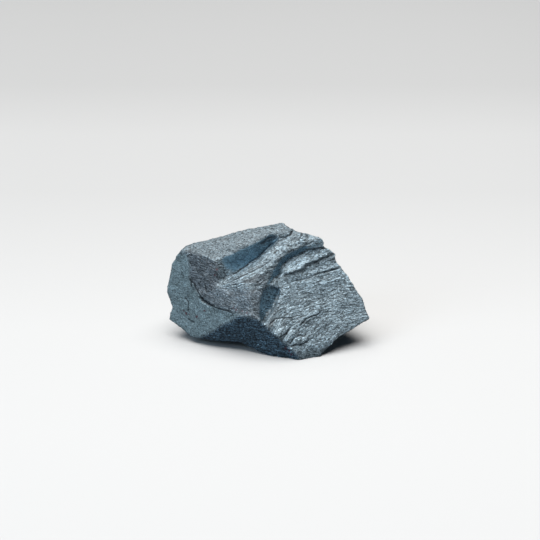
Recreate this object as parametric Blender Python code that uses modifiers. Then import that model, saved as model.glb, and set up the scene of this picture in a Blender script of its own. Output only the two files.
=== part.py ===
"""Rough hematite: one palm-sized lump of iron ore, as it broke out of the vein.

The stone grew and broke as one piece, so it is one solid. It starts as a cube that is
cut back to the planes of its outline, its back and its foot. Then each broken side is
pressed into it by a fracture sheet, a grid that follows the ledges and folds of that
side. The sheets are laid out as their side is seen: across to the right, up, and deep,
away from the viewer. Lengths are millimetres until MM turns them into metres.
"""

import math
from collections import namedtuple

import bmesh
import bpy
import numpy as np
from mathutils import Vector, noise

MM = 0.001

# Overall sizes. The lump is about 64 long, 39 deep and 36 high.
FRONT_PITCH = 22.0
BACK_DEPTH = 20.0
CUBE_SIDE = 160.0

# How finely the sides are broken, and how the finished skin is kept.
SHEET_REACH = 50.0
SHEET_STEP = 0.42
SHEET_NEAR = -40.0
FRONT_NEAR = -26.0
SKIN_VOXEL = 0.33
SKIN_KEPT = 0.058

Side = namedtuple("Side", "right up away")
Plane = namedtuple("Plane", "normal through")
Facet = namedtuple("Facet", "facing pitch through")
Rim = namedtuple("Rim", "start end lean")
Fold = namedtuple("Fold", "path lift rise fall")
Ledge = namedtuple("Ledge", "path drop width")

# Facets of the front: the way each faces, in degrees to the right of straight ahead
# and above level, and one point that it passes through.
SLAB = Facet(-10, 55, (-24.3, 2.3, 27.6))
BROW = Facet(-21, 21, (-24.3, 2.3, 27.6))
MIDDLE = Facet(-26, 31, (-2.7, -16.0, 11.6))
CHEEK = Facet(-33.5, 11.6, (-10.4, -11.9, 11.1))
CREST = Facet(-33, 56, (-14.4, -3.7, 20.2))
SHOULDER = Facet(8, 37, (0.0, -4.0, 25.3))
KNUCKLE = Facet(0, 55, (14.8, 1.8, 30.8))
HOLLOW = Facet(26, 20, (-2.0, -9.3, 16.7))
LID = Facet(0, -50, (0.0, -7.4, 20.9))
FACE = Facet(21, 36.7, (7.6, -18.3, 3.0))
CHIN = Facet(22.5, 13, (9.4, -18.3, 0.2))
UNDERCUT = Facet(-20.8, -6.6, (9.4, -18.3, 0.2))

# Lines on the front, as (across, up).
SLAB_EDGE = [(-15.8, 24.0), (-9.5, 26.5), (-2.5, 29.8), (0.8, 32.2), (3.0, 31.3), (6.0, 31.9), (8.2, 33.8)]
CREST_LINE = [(-15.6, 15.6), (-14.2, 16.7), (-10.4, 18.6), (-4.2, 22.6), (2.2, 28.0), (3.1, 30.2)]
CHEEK_EDGE = [
    (-24.6, 28.0), (-24.4, 22.0), (-24.3, 18.0), (-23.4, 15.3), (-20.7, 12.2), (-17.6, 9.7), (-13.0, 8.1),
    (-8.6, 7.2), (-4.0, 6.3), (-2.5, 5.5),
]
SHOULDER_LINE = [
    (-1.9, 4.4), (-2.4, 7.5), (-2.3, 11.0), (-1.4, 14.5), (-0.2, 16.4), (0.6, 18.0), (1.8, 20.7), (3.3, 23.2),
    (5.4, 25.6), (9.9, 27.6), (14.8, 29.3), (17.3, 30.6),
]
FACE_LINE = [
    (-2.8, 3.9), (-0.7, 5.0), (1.3, 7.7), (2.6, 10.2), (3.7, 13.4), (3.9, 15.0), (1.8, 15.6), (0.5, 16.1),
    (1.6, 17.2), (3.6, 18.9), (4.8, 21.3), (6.1, 23.1), (7.8, 24.4), (11.9, 26.6), (17.0, 29.1), (18.2, 29.7),
]
VALLEY_END = -15.8
VALLEY_RISE = 0.85
RISER = 1.2
SHOULDER_RISER = 1.9
SHOULDER_FOOT = (5.0, 14.6)
RECESS = 16.0
STEP_WIDTH = 0.5

# Folds that run up the broken face, each drooping over the next one down.
FACE_FOLDS = [
    Fold([(9.0, 21.6), (12.0, 22.6), (14.6, 23.7), (17.4, 24.8), (21.5, 26.4)], 1.4, 4.0, 1.0),
    Fold([(4.6, 18.7), (7.6, 19.9), (11.0, 20.9), (13.4, 21.3)], 1.1, 2.6, 0.8),
    Fold([(9.5, 25.8), (12.1, 26.8), (14.4, 27.4), (18.0, 27.3), (20.6, 28.0)], 0.4, 1.8, 0.6),
    Fold([(12.0, 21.4), (14.0, 22.3), (18.4, 23.6), (22.8, 25.6)], 0.5, 1.6, 0.7),
    Fold([(12.0, 18.6), (13.9, 19.3), (17.5, 20.0), (20.2, 21.1), (24.0, 22.0)], 0.35, 1.8, 0.7),
    Fold([(16.0, 16.4), (20.5, 17.3), (25.6, 18.4)], 0.25, 1.8, 0.8),
    Fold([(7.5, 2.0), (9.4, 3.6), (12.1, 5.9), (16.6, 8.1), (20.0, 9.0)], 0.4, 3.0, 0.8),
    Fold([(1.0, 1.4), (3.6, 2.6), (6.2, 5.0), (8.0, 8.0)], 0.5, 2.2, 0.8),
    Fold([(5.0, -1.6), (8.0, -0.6), (10.0, 1.6)], 0.5, 1.8, 0.8),
]
CREST_FOLDS = [
    Fold([(-13.0, 16.6), (-7.0, 19.6), (0.0, 25.0), (4.0, 29.0)], 0.3, 1.2, 0.8),
    Fold([(-8.0, 17.4), (-3.5, 18.3), (1.0, 22.5), (5.0, 26.6)], 0.35, 1.6, 0.9),
    Fold([(-13.5, 15.6), (-9.5, 15.9), (-5.9, 15.4)], 0.35, 1.0, 0.6),
    Fold([(2.5, 31.6), (4.5, 31.4), (7.4, 33.0)], 0.35, 1.2, 0.6),
    Fold([(11.2, 32.9), (10.1, 31.2), (9.2, 29.2)], 0.8, 3.0, 0.5),
]

# The outline of the front, and how far each stretch leans in as it goes back.
RIMS = [
    Rim((-24.8, 28.6), (-8.6, 33.3), 30),
    Rim((-8.6, 33.4), (4.5, 35.8), 24),
    Rim((16.4, 30.9), (22.4, 25.6), 28),
    Rim((22.0, 26.0), (29.2, 13.5), 27),
    Rim((29.2, 13.5), (31.8, 5.9), 18),
    Rim((-24.0, -0.2), (-30.9, 5.2), 26),
    Rim((-30.9, 5.2), (-31.7, 14.4), 34),
    Rim((-31.7, 14.4), (-30.0, 23.2), 22),
    Rim((-30.1, 23.0), (-24.6, 28.8), 30),
]
# Notches: each takes away what lies beyond both of its rims. The first two lift the
# underside to the left and to the right of the foot.
NOTCHES = {
    "left_arch": (Rim((-8.6, -1.7), (-22.0, -0.5), 6), Rim((-1.4, -4.8), (-8.6, -1.7), 6)),
    "right_arch": (Rim((31.8, 5.5), (20.2, -1.3), 30), Rim((19.9, -2.2), (15.7, -6.3), 30)),
    "peak_notch": (Rim((4.5, 35.8), (7.6, 33.6), 30), Rim((8.6, 33.5), (15.0, 31.6), 36)),
    "cheek_notch": (Rim((-31.2, 5.4), (-30.3, 9.0), 30), Rim((-30.3, 9.4), (-31.8, 14.4), 30)),
}

# Facets of the back, and the ledges and folds that cross them, as (across, up).
BACK_PITCH = 14.0
BACK_FACETS = [
    Facet(172, 10, (2.0, BACK_DEPTH, 12.0)),
    Facet(-138, 14, (-23.0, 15.5, 12.0)),
    Facet(128, 14, (20.0, 16.0, 12.0)),
    Facet(178, 47, (0.0, 17.0, 29.0)),
    Facet(-172, -38, (0.0, 17.0, 5.0)),
    Facet(-118, -38, (-26.0, 10.0, 4.0)),
    Facet(110, -42, (24.5, 5.5, 3.0)),
]
BACK_LEDGES = [
    Ledge([(-27.0, 25.0), (-15.0, 22.5), (-7.0, 17.0), (4.0, 14.5), (13.0, 8.0), (28.0, 5.0)], 1.9, 0.9),
    Ledge([(-16.0, 36.0), (-3.0, 29.5), (5.0, 25.0), (14.0, 24.0), (31.0, 17.5)], 1.3, 0.8),
    Ledge([(34.0, 12.0), (19.0, 19.0), (15.0, 27.0), (9.0, 36.0)], -1.0, 0.8),
]
BACK_FOLDS = [
    Fold([(-22.0, 17.5), (-13.0, 15.0), (-5.0, 9.5), (3.0, 8.0)], 1.0, 0.9, 4.0),
    Fold([(-24.0, 10.0), (-14.0, 8.5), (-8.0, 4.5)], 0.8, 0.8, 3.0),
    Fold([(0.0, 21.5), (8.0, 18.5), (15.0, 13.5), (24.0, 11.0)], 0.8, 0.8, 3.0),
    Fold([(-2.0, 33.0), (6.0, 29.5), (14.0, 28.5)], 0.7, 0.7, 2.5),
]


def side_of(facing, pitch):
    """The axes of a side that is seen from the given direction."""
    f, p = math.radians(facing), math.radians(pitch)
    right = Vector((math.cos(f), math.sin(f), 0.0))
    away = Vector((-math.sin(f) * math.cos(p), math.cos(f) * math.cos(p), -math.sin(p)))
    return Side(right, right.cross(away), away)


def place(side, across, up, deep):
    return side.right * across + side.up * up + side.away * deep


def facet_plane(facet):
    f, p = math.radians(facet.facing), math.radians(facet.pitch)
    normal = Vector((math.sin(f) * math.cos(p), -math.cos(f) * math.cos(p), math.sin(p)))
    return Plane(normal, Vector(facet.through))


def rim_plane(side, rim):
    """The plane that runs back from a rim of the front, leaning in."""
    ends = np.array([rim.start, rim.end])
    deep = front_depth(side, ends[:, 0], ends[:, 1])
    start, end = (place(side, x, y, z) for (x, y), z in zip(ends, deep))
    lean = math.radians(rim.lean)
    outward = (place(side, *(ends[1] - ends[0]), 0.0)).cross(side.away).normalized()
    if outward.dot(start - place(side, 0.0, 15.0, deep[0])) < 0:
        outward.negate()
    normal = outward * math.cos(lean) + side.away * math.sin(lean)
    edge = (end - start).normalized()
    return Plane((normal - edge * normal.dot(edge)).normalized(), start)


def depth_of(side, plane, across, up):
    """How deep a plane lies at points of a side's layout."""
    n = plane.normal
    level = n.dot(plane.through)
    return (level - across * n.dot(side.right) - up * n.dot(side.up)) / n.dot(side.away)


def path_of(points, across, up):
    """For each layout point: distance right of the path, and share of the way along it.

    The first and last stretches run on past their ends for the distance's sign."""
    corners = np.array(points, float)
    best = np.full(across.shape, np.inf)
    signed, along = np.zeros(across.shape), np.zeros(across.shape)
    lengths = np.hypot(*np.diff(corners, axis=0).T)
    reached = np.concatenate([[0.0], np.cumsum(lengths)])
    for i, length in enumerate(lengths):
        step = (corners[i + 1] - corners[i]) / length
        x, y = across - corners[i][0], up - corners[i][1]
        t = x * step[0] + y * step[1]
        held = np.clip(t, -1e3 if i == 0 else 0.0, 1e3 if i == len(lengths) - 1 else length)
        gap = np.hypot(x - held * step[0], y - held * step[1])
        side = x * step[1] - y * step[0]
        rank = gap - 1e-4 * np.abs(side)
        nearer = rank < best
        best = np.where(nearer, rank, best)
        signed = np.where(nearer, np.copysign(gap, side), signed)
        along = np.where(nearer, (reached[i] + held) / reached[-1], along)
    return signed, along


def ramp(t):
    """0 below 0, 1 above 1, and smooth between."""
    t = np.clip(t, 0.0, 1.0)
    return t * t * (3.0 - 2.0 * t)


def lift_of(fold, across, up):
    """How far a fold stands out: a slow rise down to its line, then a quick fall."""
    gap, along = path_of(fold.path, across, up)
    profile = np.where(gap < 0, ramp(1.0 + gap / fold.rise), ramp(1.0 - gap / fold.fall))
    ends = ramp(along / 0.25) * ramp((1.0 - along) / 0.25)
    return fold.lift * profile * ends


def wander(across, up, size, seed):
    """Smooth noise over a layout, from -1 to 1, with lumps about one size across."""
    points = zip(across.ravel(), up.ravel())
    values = [noise.noise(Vector((x / size, y / size, seed))) for x, y in points]
    return np.array(values).reshape(across.shape)


def front_depth(side, across, up):
    """The broken front: two masses of ore that meet in a dark recess."""
    def facet(which):
        return depth_of(side, facet_plane(which), across, up)

    slab, brow = facet(SLAB), facet(BROW)
    upper = np.maximum(slab, np.minimum(brow, facet(MIDDLE)))

    crest = np.maximum.reduce([facet(CREST), facet(SHOULDER), facet(KNUCKLE)])
    crest -= sum(lift_of(fold, across, up) for fold in CREST_FOLDS)
    behind_crest = np.maximum(0.0, -path_of(CREST_LINE, across, up)[0])
    riser = slab + RISER * path_of(SLAB_EDGE, across, up)[0]
    valley_end = brow + VALLEY_RISE * (across - VALLEY_END)
    valley = np.minimum.reduce([riser, crest + RECESS * behind_crest, valley_end])

    cheek = np.maximum(slab, facet(CHEEK))
    to_cheek = ramp(path_of(CHEEK_EDGE, across, up)[0] / STEP_WIDTH + 0.5)
    left = np.maximum(upper, valley) * (1.0 - to_cheek) + cheek * to_cheek
    past_shoulder = path_of(SHOULDER_LINE, across, up)[0]
    above_foot = np.maximum(up - SHOULDER_FOOT[1], across - SHOULDER_FOOT[0])
    left += SHOULDER_RISER * np.maximum(0.0, past_shoulder) * ramp(above_foot / 2.0)
    hollow = np.minimum(facet(HOLLOW), facet(LID)) - left
    left += np.maximum(0.0, hollow) * ramp(past_shoulder / STEP_WIDTH + 0.5)

    face = facet(FACE)
    face -= sum(lift_of(fold, across, up) for fold in FACE_FOLDS)
    behind_face = np.maximum(0.0, -path_of(FACE_LINE, across, up)[0])
    right = np.maximum(face, facet(CHIN)) + RECESS * behind_face
    return np.maximum(np.minimum(left, right), facet(UNDERCUT))


def back_depth(side, across, up):
    """The back: plain facets, stepped down by ledges."""
    deep = np.maximum.reduce([depth_of(side, facet_plane(f), across, up) for f in BACK_FACETS])
    deep = np.minimum(deep, SHEET_REACH)
    for ledge in BACK_LEDGES:
        gap = path_of(ledge.path, across, up)[0]
        deep += abs(ledge.drop) * ramp(np.sign(ledge.drop) * gap / ledge.width)
    return deep + sum(lift_of(fold, across, up) for fold in BACK_FOLDS)


def sheet(name, side, depth, cutters):
    """A closed cutter whose far face follows the depth that is given for a side."""
    bm = bmesh.new()
    cells = round(2 * SHEET_REACH / SHEET_STEP)
    bmesh.ops.create_grid(bm, x_segments=cells, y_segments=cells, size=SHEET_REACH)
    grid = list(bm.verts)
    across = np.array([v.co.x for v in grid])
    up = np.array([v.co.y for v in grid])
    bend_across = 0.35 * wander(across, up, 3.5, 3.1) + 0.15 * wander(across, up, 1.3, 8.4)
    bend_up = 0.35 * wander(across, up, 3.5, 5.7) + 0.15 * wander(across, up, 1.3, 1.9)
    deep = depth(side, across + bend_across, up + bend_up)
    near = bmesh.ops.extrude_face_region(bm, geom=list(bm.faces), use_keep_orig=True)["geom"]
    for v in near:
        if isinstance(v, bmesh.types.BMVert):
            v.co = place(side, v.co.x, v.co.y, SHEET_NEAR) * MM
    for v, x, y, z in zip(grid, across, up, deep):
        v.co = place(side, x, y, z) * MM
    bmesh.ops.recalc_face_normals(bm, faces=list(bm.faces))
    return add_object(name, bm, cutters)


def add_object(name, bm, collection):
    mesh = bpy.data.meshes.new(name)
    bm.to_mesh(mesh)
    bm.free()
    made = bpy.data.objects.new(name, mesh)
    collection.objects.link(made)
    if collection.name == "cutters":
        made.hide_render = True
        made.display_type = "WIRE"
    return made


def cut(bm, plane):
    """Takes away what lies beyond a plane, and closes the cut."""
    everything = list(bm.verts) + list(bm.edges) + list(bm.faces)
    bmesh.ops.bisect_plane(
        bm, geom=everything, plane_co=plane.through * MM, plane_no=plane.normal, clear_outer=True
    )
    bmesh.ops.holes_fill(bm, edges=list(bm.edges), sides=0)


def block(front, collection):
    """The lump before its sides are broken: a cube, cut to its outline and back."""
    bm = bmesh.new()
    bmesh.ops.create_cube(bm, size=CUBE_SIDE * MM)
    planes = [rim_plane(front, rim) for rim in RIMS]
    planes += [facet_plane(facet) for facet in BACK_FACETS]
    planes.append(Plane(-front.away, place(front, 0.0, 0.0, FRONT_NEAR)))
    planes.append(Plane(Vector((0.0, 0.0, -1.0)), Vector((0.0, 0.0, -0.4))))
    for plane in planes:
        cut(bm, plane)
    bmesh.ops.recalc_face_normals(bm, faces=list(bm.faces))
    return add_object("hematite", bm, collection)


def notch(name, front, rims, cutters):
    """A cutter that fills the space beyond both of two rims."""
    bm = bmesh.new()
    bmesh.ops.create_cube(bm, size=CUBE_SIDE * MM)
    for rim in rims:
        plane = rim_plane(front, rim)
        cut(bm, Plane(-plane.normal, plane.through))
    bmesh.ops.recalc_face_normals(bm, faces=list(bm.faces))
    return add_object(name, bm, cutters)


def ore():
    material = bpy.data.materials.new("hematite")
    material.use_nodes = True
    shader = material.node_tree.nodes["Principled BSDF"]
    shader.inputs["Base Color"].default_value = (0.13, 0.17, 0.2, 1.0)
    shader.inputs["Metallic"].default_value = 0.5
    shader.inputs["Roughness"].default_value = 0.5
    return material


def add_boolean(lump, cutter):
    modifier = lump.modifiers.new(cutter.name, "BOOLEAN")
    modifier.operation = "DIFFERENCE"
    modifier.solver = "EXACT"
    modifier.object = cutter


def add_weathering(lump, name, size, strength):
    texture = bpy.data.textures.new(name, "CLOUDS")
    texture.noise_scale = size * MM
    texture.noise_depth = 2
    modifier = lump.modifiers.new(name, "DISPLACE")
    modifier.texture = texture
    modifier.texture_coords = "LOCAL"
    modifier.strength = strength * MM
    modifier.mid_level = 0.5


def floor_cutter(cutters):
    bm = bmesh.new()
    bmesh.ops.create_cube(bm, size=CUBE_SIDE * MM)
    bmesh.ops.translate(bm, verts=list(bm.verts), vec=(0.0, 0.0, -CUBE_SIDE / 2 * MM))
    return add_object("floor", bm, cutters)


def settle(lump, others):
    """Moves everything so that the lump's box stands centred on the origin."""
    bpy.context.view_layer.update()
    seen = lump.evaluated_get(bpy.context.evaluated_depsgraph_get())
    corners = np.array(seen.bound_box)
    middle = (corners.min(axis=0) + corners.max(axis=0)) / 2
    for moved in [lump, *others]:
        moved.location = (-middle[0], -middle[1], 0.0)


def main():
    for found in list(bpy.data.objects):
        bpy.data.objects.remove(found)
    stone = bpy.data.collections.new("rough_hematite")
    cutters = bpy.data.collections.new("cutters")
    for collection in (stone, cutters):
        bpy.context.scene.collection.children.link(collection)

    front = side_of(0, FRONT_PITCH)
    lump = block(front, stone)
    lump.data.materials.append(ore())
    for name, rims in NOTCHES.items():
        add_boolean(lump, notch(name, front, rims, cutters))
    add_boolean(lump, sheet("front_sheet", front, front_depth, cutters))
    add_boolean(lump, sheet("back_sheet", side_of(180, BACK_PITCH), back_depth, cutters))
    remesh = lump.modifiers.new("skin", "REMESH")
    remesh.mode = "VOXEL"
    remesh.voxel_size = SKIN_VOXEL * MM
    add_weathering(lump, "swell", 7.0, 0.9)
    add_weathering(lump, "chips", 2.6, 0.35)
    decimate = lump.modifiers.new("kept", "DECIMATE")
    decimate.ratio = SKIN_KEPT
    add_boolean(lump, floor_cutter(cutters))
    settle(lump, cutters.objects)


main()
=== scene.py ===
"""The rough hematite lump as it looks: grain, striations, cracks and colour, in a soft studio.

Lengths in the dataclasses are millimetres unless their name says otherwise. Places on the
broken front are pairs, (across, up), in its own layout: distances to the right and up, as
it is seen from the photograph's angle, 22 degrees above level.
"""

import logging
import math
from dataclasses import dataclass, field
from enum import Enum
from typing import Callable, Sequence

import bmesh
import bpy
import numpy as np
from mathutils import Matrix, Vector, noise

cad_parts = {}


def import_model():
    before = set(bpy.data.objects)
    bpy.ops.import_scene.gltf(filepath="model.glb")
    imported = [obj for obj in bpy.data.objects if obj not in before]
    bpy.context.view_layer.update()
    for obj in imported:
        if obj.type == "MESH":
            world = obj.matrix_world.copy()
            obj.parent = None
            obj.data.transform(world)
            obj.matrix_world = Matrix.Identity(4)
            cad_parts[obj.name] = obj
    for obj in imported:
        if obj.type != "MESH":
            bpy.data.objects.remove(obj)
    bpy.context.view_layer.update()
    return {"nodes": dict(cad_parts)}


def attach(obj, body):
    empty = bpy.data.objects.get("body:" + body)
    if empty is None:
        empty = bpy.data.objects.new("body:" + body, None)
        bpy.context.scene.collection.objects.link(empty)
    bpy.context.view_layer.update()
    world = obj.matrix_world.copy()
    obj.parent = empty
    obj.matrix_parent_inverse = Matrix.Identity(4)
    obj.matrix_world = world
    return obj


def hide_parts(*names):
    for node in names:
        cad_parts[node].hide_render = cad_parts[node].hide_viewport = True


log = logging.getLogger("hematite")

Array = np.ndarray
Point = tuple[float, float]
Triple = tuple[float, float, float]
Colour = Triple
Pair = tuple[Array, Array]
Flow = Callable[[Pair], Pair]
Material = bpy.types.Material
Mesh = bpy.types.Mesh
Node = bpy.types.Node
NodeTree = bpy.types.NodeTree
Object = bpy.types.Object
Socket = bpy.types.NodeSocket

MM = 0.001

ORE: Colour = (0.152, 0.2, 0.232)
# STEEL_AND_SHADE_BLUE and NAVY_AND_SHADE_BLUE are partly the smooth and the underside facets' own
# blue-grey, partly the blue of painted shade on the recessed and downward faces that use them.
STEEL_AND_SHADE_BLUE: Colour = (0.085, 0.15, 0.2)
NAVY_AND_SHADE_BLUE: Colour = (0.083, 0.152, 0.218)
TEAL: Colour = (0.152, 0.213, 0.242)
PURPLE: Colour = (0.139, 0.178, 0.21)
BRUISE: Colour = (0.122, 0.158, 0.183)
PLAIN_VEINS = 0.5

SEED_STEP = 17.3
OCTAVES = 2

# A ridge climbs gently over most of its width and drops steeply over the rest.
RIDGE_CLIMB = 0.78
RIDGE_DROP = 0.22
RIDGE_MEAN = 0.45
RIDGE_STEP = 3.7

# The face's ridges climb this much at these heights, and pivot about its middle.
FACE_HEIGHTS = (-4.0, 4.0, 12.0, 18.0, 27.0)
FACE_CLIMBS = (0.62, 0.42, 0.22, 0.2, 0.42)
FACE_MIDDLE = 14.0
# The crest's ridges fan out from its tip, and their spacing holds at this distance from it.
CREST_TIP: Point = (-19.5, 13.5)
CREST_REACH = 17.0

# Directions across the ore's tilted beds, along them and into them.
BEDS = ((0.25, -0.35, 0.9), (0.9, 0.3, -0.13), (-0.22, 0.84, 0.4))

# A Mix node's colour sockets share their names with its number sockets, so they go by index,
# and so does a Random Value node's number.
MIX_FIRST, MIX_SECOND, MIX_RESULT = 6, 7, 2
RANDOM_NUMBER = 1


class Zone(Enum):
    """The parts of the broken front, by how they broke, and some for their painted light and shade."""

    SLAB = "slab"
    WEDGE = "wedge"
    NOTCH = "notch"
    CREST = "crest"
    FACE = "face"
    BROW = "brow"
    CHIN = "chin"
    MIDDLE = "middle"
    SCAR = "scar"
    CHEEK = "cheek"
    UNDERCUT = "undercut"
    HOLLOW = "hollow"
    STAIN = "stain"
    PEAK = "peak"
    BAND = "band"
    LIP = "lip"


@dataclass(frozen=True)
class FrontView:
    """The layout of the broken front."""

    pitch: float = 22.0
    origin: Triple = (0.0, -0.69, 0.0)

    @property
    def up(self) -> Vector:
        """The direction up the layout."""
        p = math.radians(self.pitch)
        return Vector((0.0, math.sin(p), math.cos(p)))

    @property
    def toward(self) -> Vector:
        """The direction toward the viewer."""
        p = math.radians(self.pitch)
        return Vector((0.0, -math.cos(p), math.sin(p)))

    def layout(self, points: Array) -> Pair:
        """Where points, in millimetres, one row each, lie in the layout."""
        placed = points - np.array(self.origin)
        return placed[:, 0], placed @ np.array(self.up)

    def place(self, across: float, up: float) -> Vector:
        """The point in space, in millimetres, of a place in the layout."""
        return Vector(self.origin) + Vector((across, 0.0, 0.0)) + self.up * up


def ramp(t: Array) -> Array:
    """A smooth step: 0 below 0, 1 above 1 and smooth between."""
    t = np.clip(t, 0.0, 1.0)
    return t * t * (3.0 - 2.0 * t)


def wander(x: Array, y: Array, z: Array, seed: float) -> Array:
    """Smooth noise at each point.

    Args:
        x: First coordinates, in lumps.
        y: Second coordinates.
        z: Third coordinates.
        seed: A number that moves the pattern.

    Returns:
        Values from about -1 to 1.
    """
    read = noise.noise
    shift = seed * SEED_STEP
    return np.array([read((a + shift, b - shift, c + shift)) for a, b, c in zip(x, y, z)])


def fractal(points: Array, size: float, seed: float) -> Array:
    """Noise of several sizes, each half the one before.

    Args:
        points: Points in millimetres, one row each.
        size: The largest lump's size.
        seed: A number that moves the pattern.

    Returns:
        Values from about -1 to 1.
    """
    total = np.zeros(len(points))
    for i in range(OCTAVES):
        scaled = points * (2.0**i / size)
        total += wander(scaled[:, 0], scaled[:, 1], scaled[:, 2], seed + i) * 0.5**i
    return total


def ridge(turn: Array, curve: float = 1.0) -> Array:
    """The profile of ridges side by side, about its mean.

    Args:
        turn: Where to read it, with one ridge from each whole number to the next.
        curve: How hollow the gentle side is, with 1 for a straight one.

    Returns:
        Heights, for ridges 1 high.
    """
    part = turn - np.floor(turn)
    climb = (part / RIDGE_CLIMB) ** curve
    return np.where(part < RIDGE_CLIMB, climb, (1.0 - part) / RIDGE_DROP) - RIDGE_MEAN


def add_object(name: str, data: bpy.types.ID) -> Object:
    """Puts a new object into the scene.

    Args:
        name: Its name.
        data: Its mesh, light or camera.

    Returns:
        The object.
    """
    made = bpy.data.objects.new(name, data)
    bpy.context.scene.collection.objects.link(made)
    return made


def bake_down(holder: Object, name: str) -> Mesh:
    """Makes an object's modifiers into a plain mesh, and removes them and the object.

    Args:
        holder: The object.
        name: The mesh's name.

    Returns:
        The mesh.
    """
    seen = holder.evaluated_get(bpy.context.evaluated_depsgraph_get())
    mesh = bpy.data.meshes.new_from_object(seen)
    mesh.name = name
    holder.modifiers.clear()
    bpy.data.objects.remove(holder)
    return mesh


def path_gap(path: Sequence[Point], at: Pair) -> Pair:
    """How far places are from a path.

    Args:
        path: The path's corners.
        at: The places.

    Returns:
        Distance from the path, and the share of the way along it.
    """
    across, up = at
    corners = np.array(path, float)
    best, along = np.full(across.shape, np.inf), np.zeros(across.shape)
    lengths = np.hypot(*np.diff(corners, axis=0).T)
    reached = np.concatenate([[0.0], np.cumsum(lengths)])
    for i, length in enumerate(lengths):
        step = (corners[i + 1] - corners[i]) / length
        x, y = across - corners[i][0], up - corners[i][1]
        held = np.clip(x * step[0] + y * step[1], 0.0, length)
        gap = np.hypot(x - held * step[0], y - held * step[1])
        nearer = gap < best
        best = np.where(nearer, gap, best)
        along = np.where(nearer, (reached[i] + held) / reached[-1], along)
    return best, along


@dataclass(frozen=True)
class Patch:
    """One zone's outline on the front, and what sets it off from the rest.

    tint is its colour, in some zones partly the blue of painted shade, tone a factor on that,
    grit how coarse its grain looks, veins how clear the thin dark lines along its flow are,
    and polish how smooth it broke. The tone is in part painted light and shade, which lifts
    or darkens the zone to make up for how it is lit. The feather is how wide its border is,
    and it ends where the surface faces up more than the lid, which keeps some zones' painted
    light and shade on their steeper faces.
    """

    zone: Zone
    outline: tuple[Point, ...]
    tint: Colour = ORE
    tone: float = 1.0
    grit: float = 1.0
    veins: float = PLAIN_VEINS
    polish: float = 0.0
    feather: float = 0.9
    lid: float = 2.0

    def mask(self, at: Pair) -> Array:
        """How much places belong to the patch.

        Args:
            at: The places.

        Returns:
            1 well inside, 0 well outside and smooth between.
        """
        across, up = at
        corners = [*self.outline, self.outline[0]]
        gap = path_gap(corners, at)[0]
        inside = np.zeros(across.shape, bool)
        for (x0, y0), (x1, y1) in zip(corners, corners[1:]):
            if y0 != y1:
                crosses = (y0 > up) != (y1 > up)
                inside ^= crosses & (across < x0 + (up - y0) / (y1 - y0) * (x1 - x0))
        return ramp(np.where(inside, gap, -gap) / self.feather + 0.5)


@dataclass(frozen=True)
class Crack:
    """A thin line on the front that fades out at both ends: a crack, or the underside of a fold.
    It sinks by its depth and darkens by its dark share, which is painted shade.

    Among the highlight ridges it stands out instead, by its depth, and gets a painted highlight.
    """

    path: tuple[Point, ...]
    depth: float = 0.3
    width: float = 0.28
    dark: float = 1.0
    fade: float = 0.15

    def line(self, at: Pair) -> Array:
        """How much places lie on the line, from 0 to 1."""
        gap, along = path_gap(self.path, at)
        return ramp(1.0 - gap / self.width) * ramp(along / self.fade) * ramp((1.0 - along) / self.fade)


@dataclass(frozen=True)
class Oval:
    """A long oval on the front. Its slant is the long axis' angle in degrees."""

    middle: Point
    half_length: float
    half_width: float
    slant: float

    def reach(self, at: Pair) -> Pair:
        """How far places are from the middle, as shares of the half sizes.

        Args:
            at: The places.

        Returns:
            The shares along the oval, and those over it.
        """
        c, s = math.cos(math.radians(self.slant)), math.sin(math.radians(self.slant))
        x, y = at[0] - self.middle[0], at[1] - self.middle[1]
        return (x * c + y * s) / self.half_length, (y * c - x * s) / self.half_width


@dataclass(frozen=True)
class Lobe(Oval):
    """A long low lobe on the front, steepest at its border."""

    height: float

    def rise(self, at: Pair) -> Array:
        """How far the lobe stands out, in millimetres."""
        along, over = self.reach(at)
        return self.height * np.sqrt(np.clip(1.0 - (along**2 + over**2), 0.0, 1.0))


@dataclass(frozen=True)
class ShadeAndColourSpot(Oval):
    """A spot that is lighter or darker by its tone and fades out all round: partly painted light
    and shade, partly the ore's own colour.
    """

    tone: float
    border: float = 1.5

    def shade(self, at: Pair) -> Array:
        """The spot's factor on the colour, 1 outside it."""
        along, over = self.reach(at)
        return 1.0 + (self.tone - 1.0) * ramp(self.border - np.hypot(along, over))


@dataclass(frozen=True)
class Striae:
    """A set of fine overlapping ridges that run side by side over one zone.

    flow gives, for places on the front, the distance across the ridges and along them.
    They wander by the bend, in ridges, and kinks is the share of the short bends in that.
    """

    zone: Zone
    flow: Flow
    pitch: float
    height: float
    reach: float
    seed: float
    bend: float = 1.5
    kinks: float = 0.35
    curve: float = 1.4

    def rise(self, at: Pair) -> Array:
        """How far the ridges stand out.

        Args:
            at: Pair on the front.

        Returns:
            Heights in millimetres.
        """
        over, along = self.flow(at)
        flat = np.zeros(over.shape)
        bend = wander(along / self.reach, over / (3.0 * self.pitch), flat, self.seed)
        bend += self.kinks * wander(along / self.reach * 3.1, over / self.pitch, flat, self.seed + 2.0)
        turn = self.bend * bend - over / self.pitch
        vigour = wander(along / self.reach * 1.3, np.floor(turn) * RIDGE_STEP, flat, self.seed + 5.0)
        return self.height * ridge(turn, self.curve) * np.clip(0.75 + 1.3 * vigour, 0.0, 1.6)


def face_flow(at: Pair) -> Pair:
    """The broken face's ridges: steep at the foot, nearly level, then climbing to the top.

    Args:
        at: Pair on the front.

    Returns:
        Distance across the ridges, and along them.
    """
    across, up = at
    climb = np.interp(up, FACE_HEIGHTS, FACE_CLIMBS)
    climb = climb + 0.3 * ramp((6.0 - across) / 6.0) * ramp((9.0 - up) / 6.0)
    return up - climb * (across - FACE_MIDDLE), across + climb * up


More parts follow.
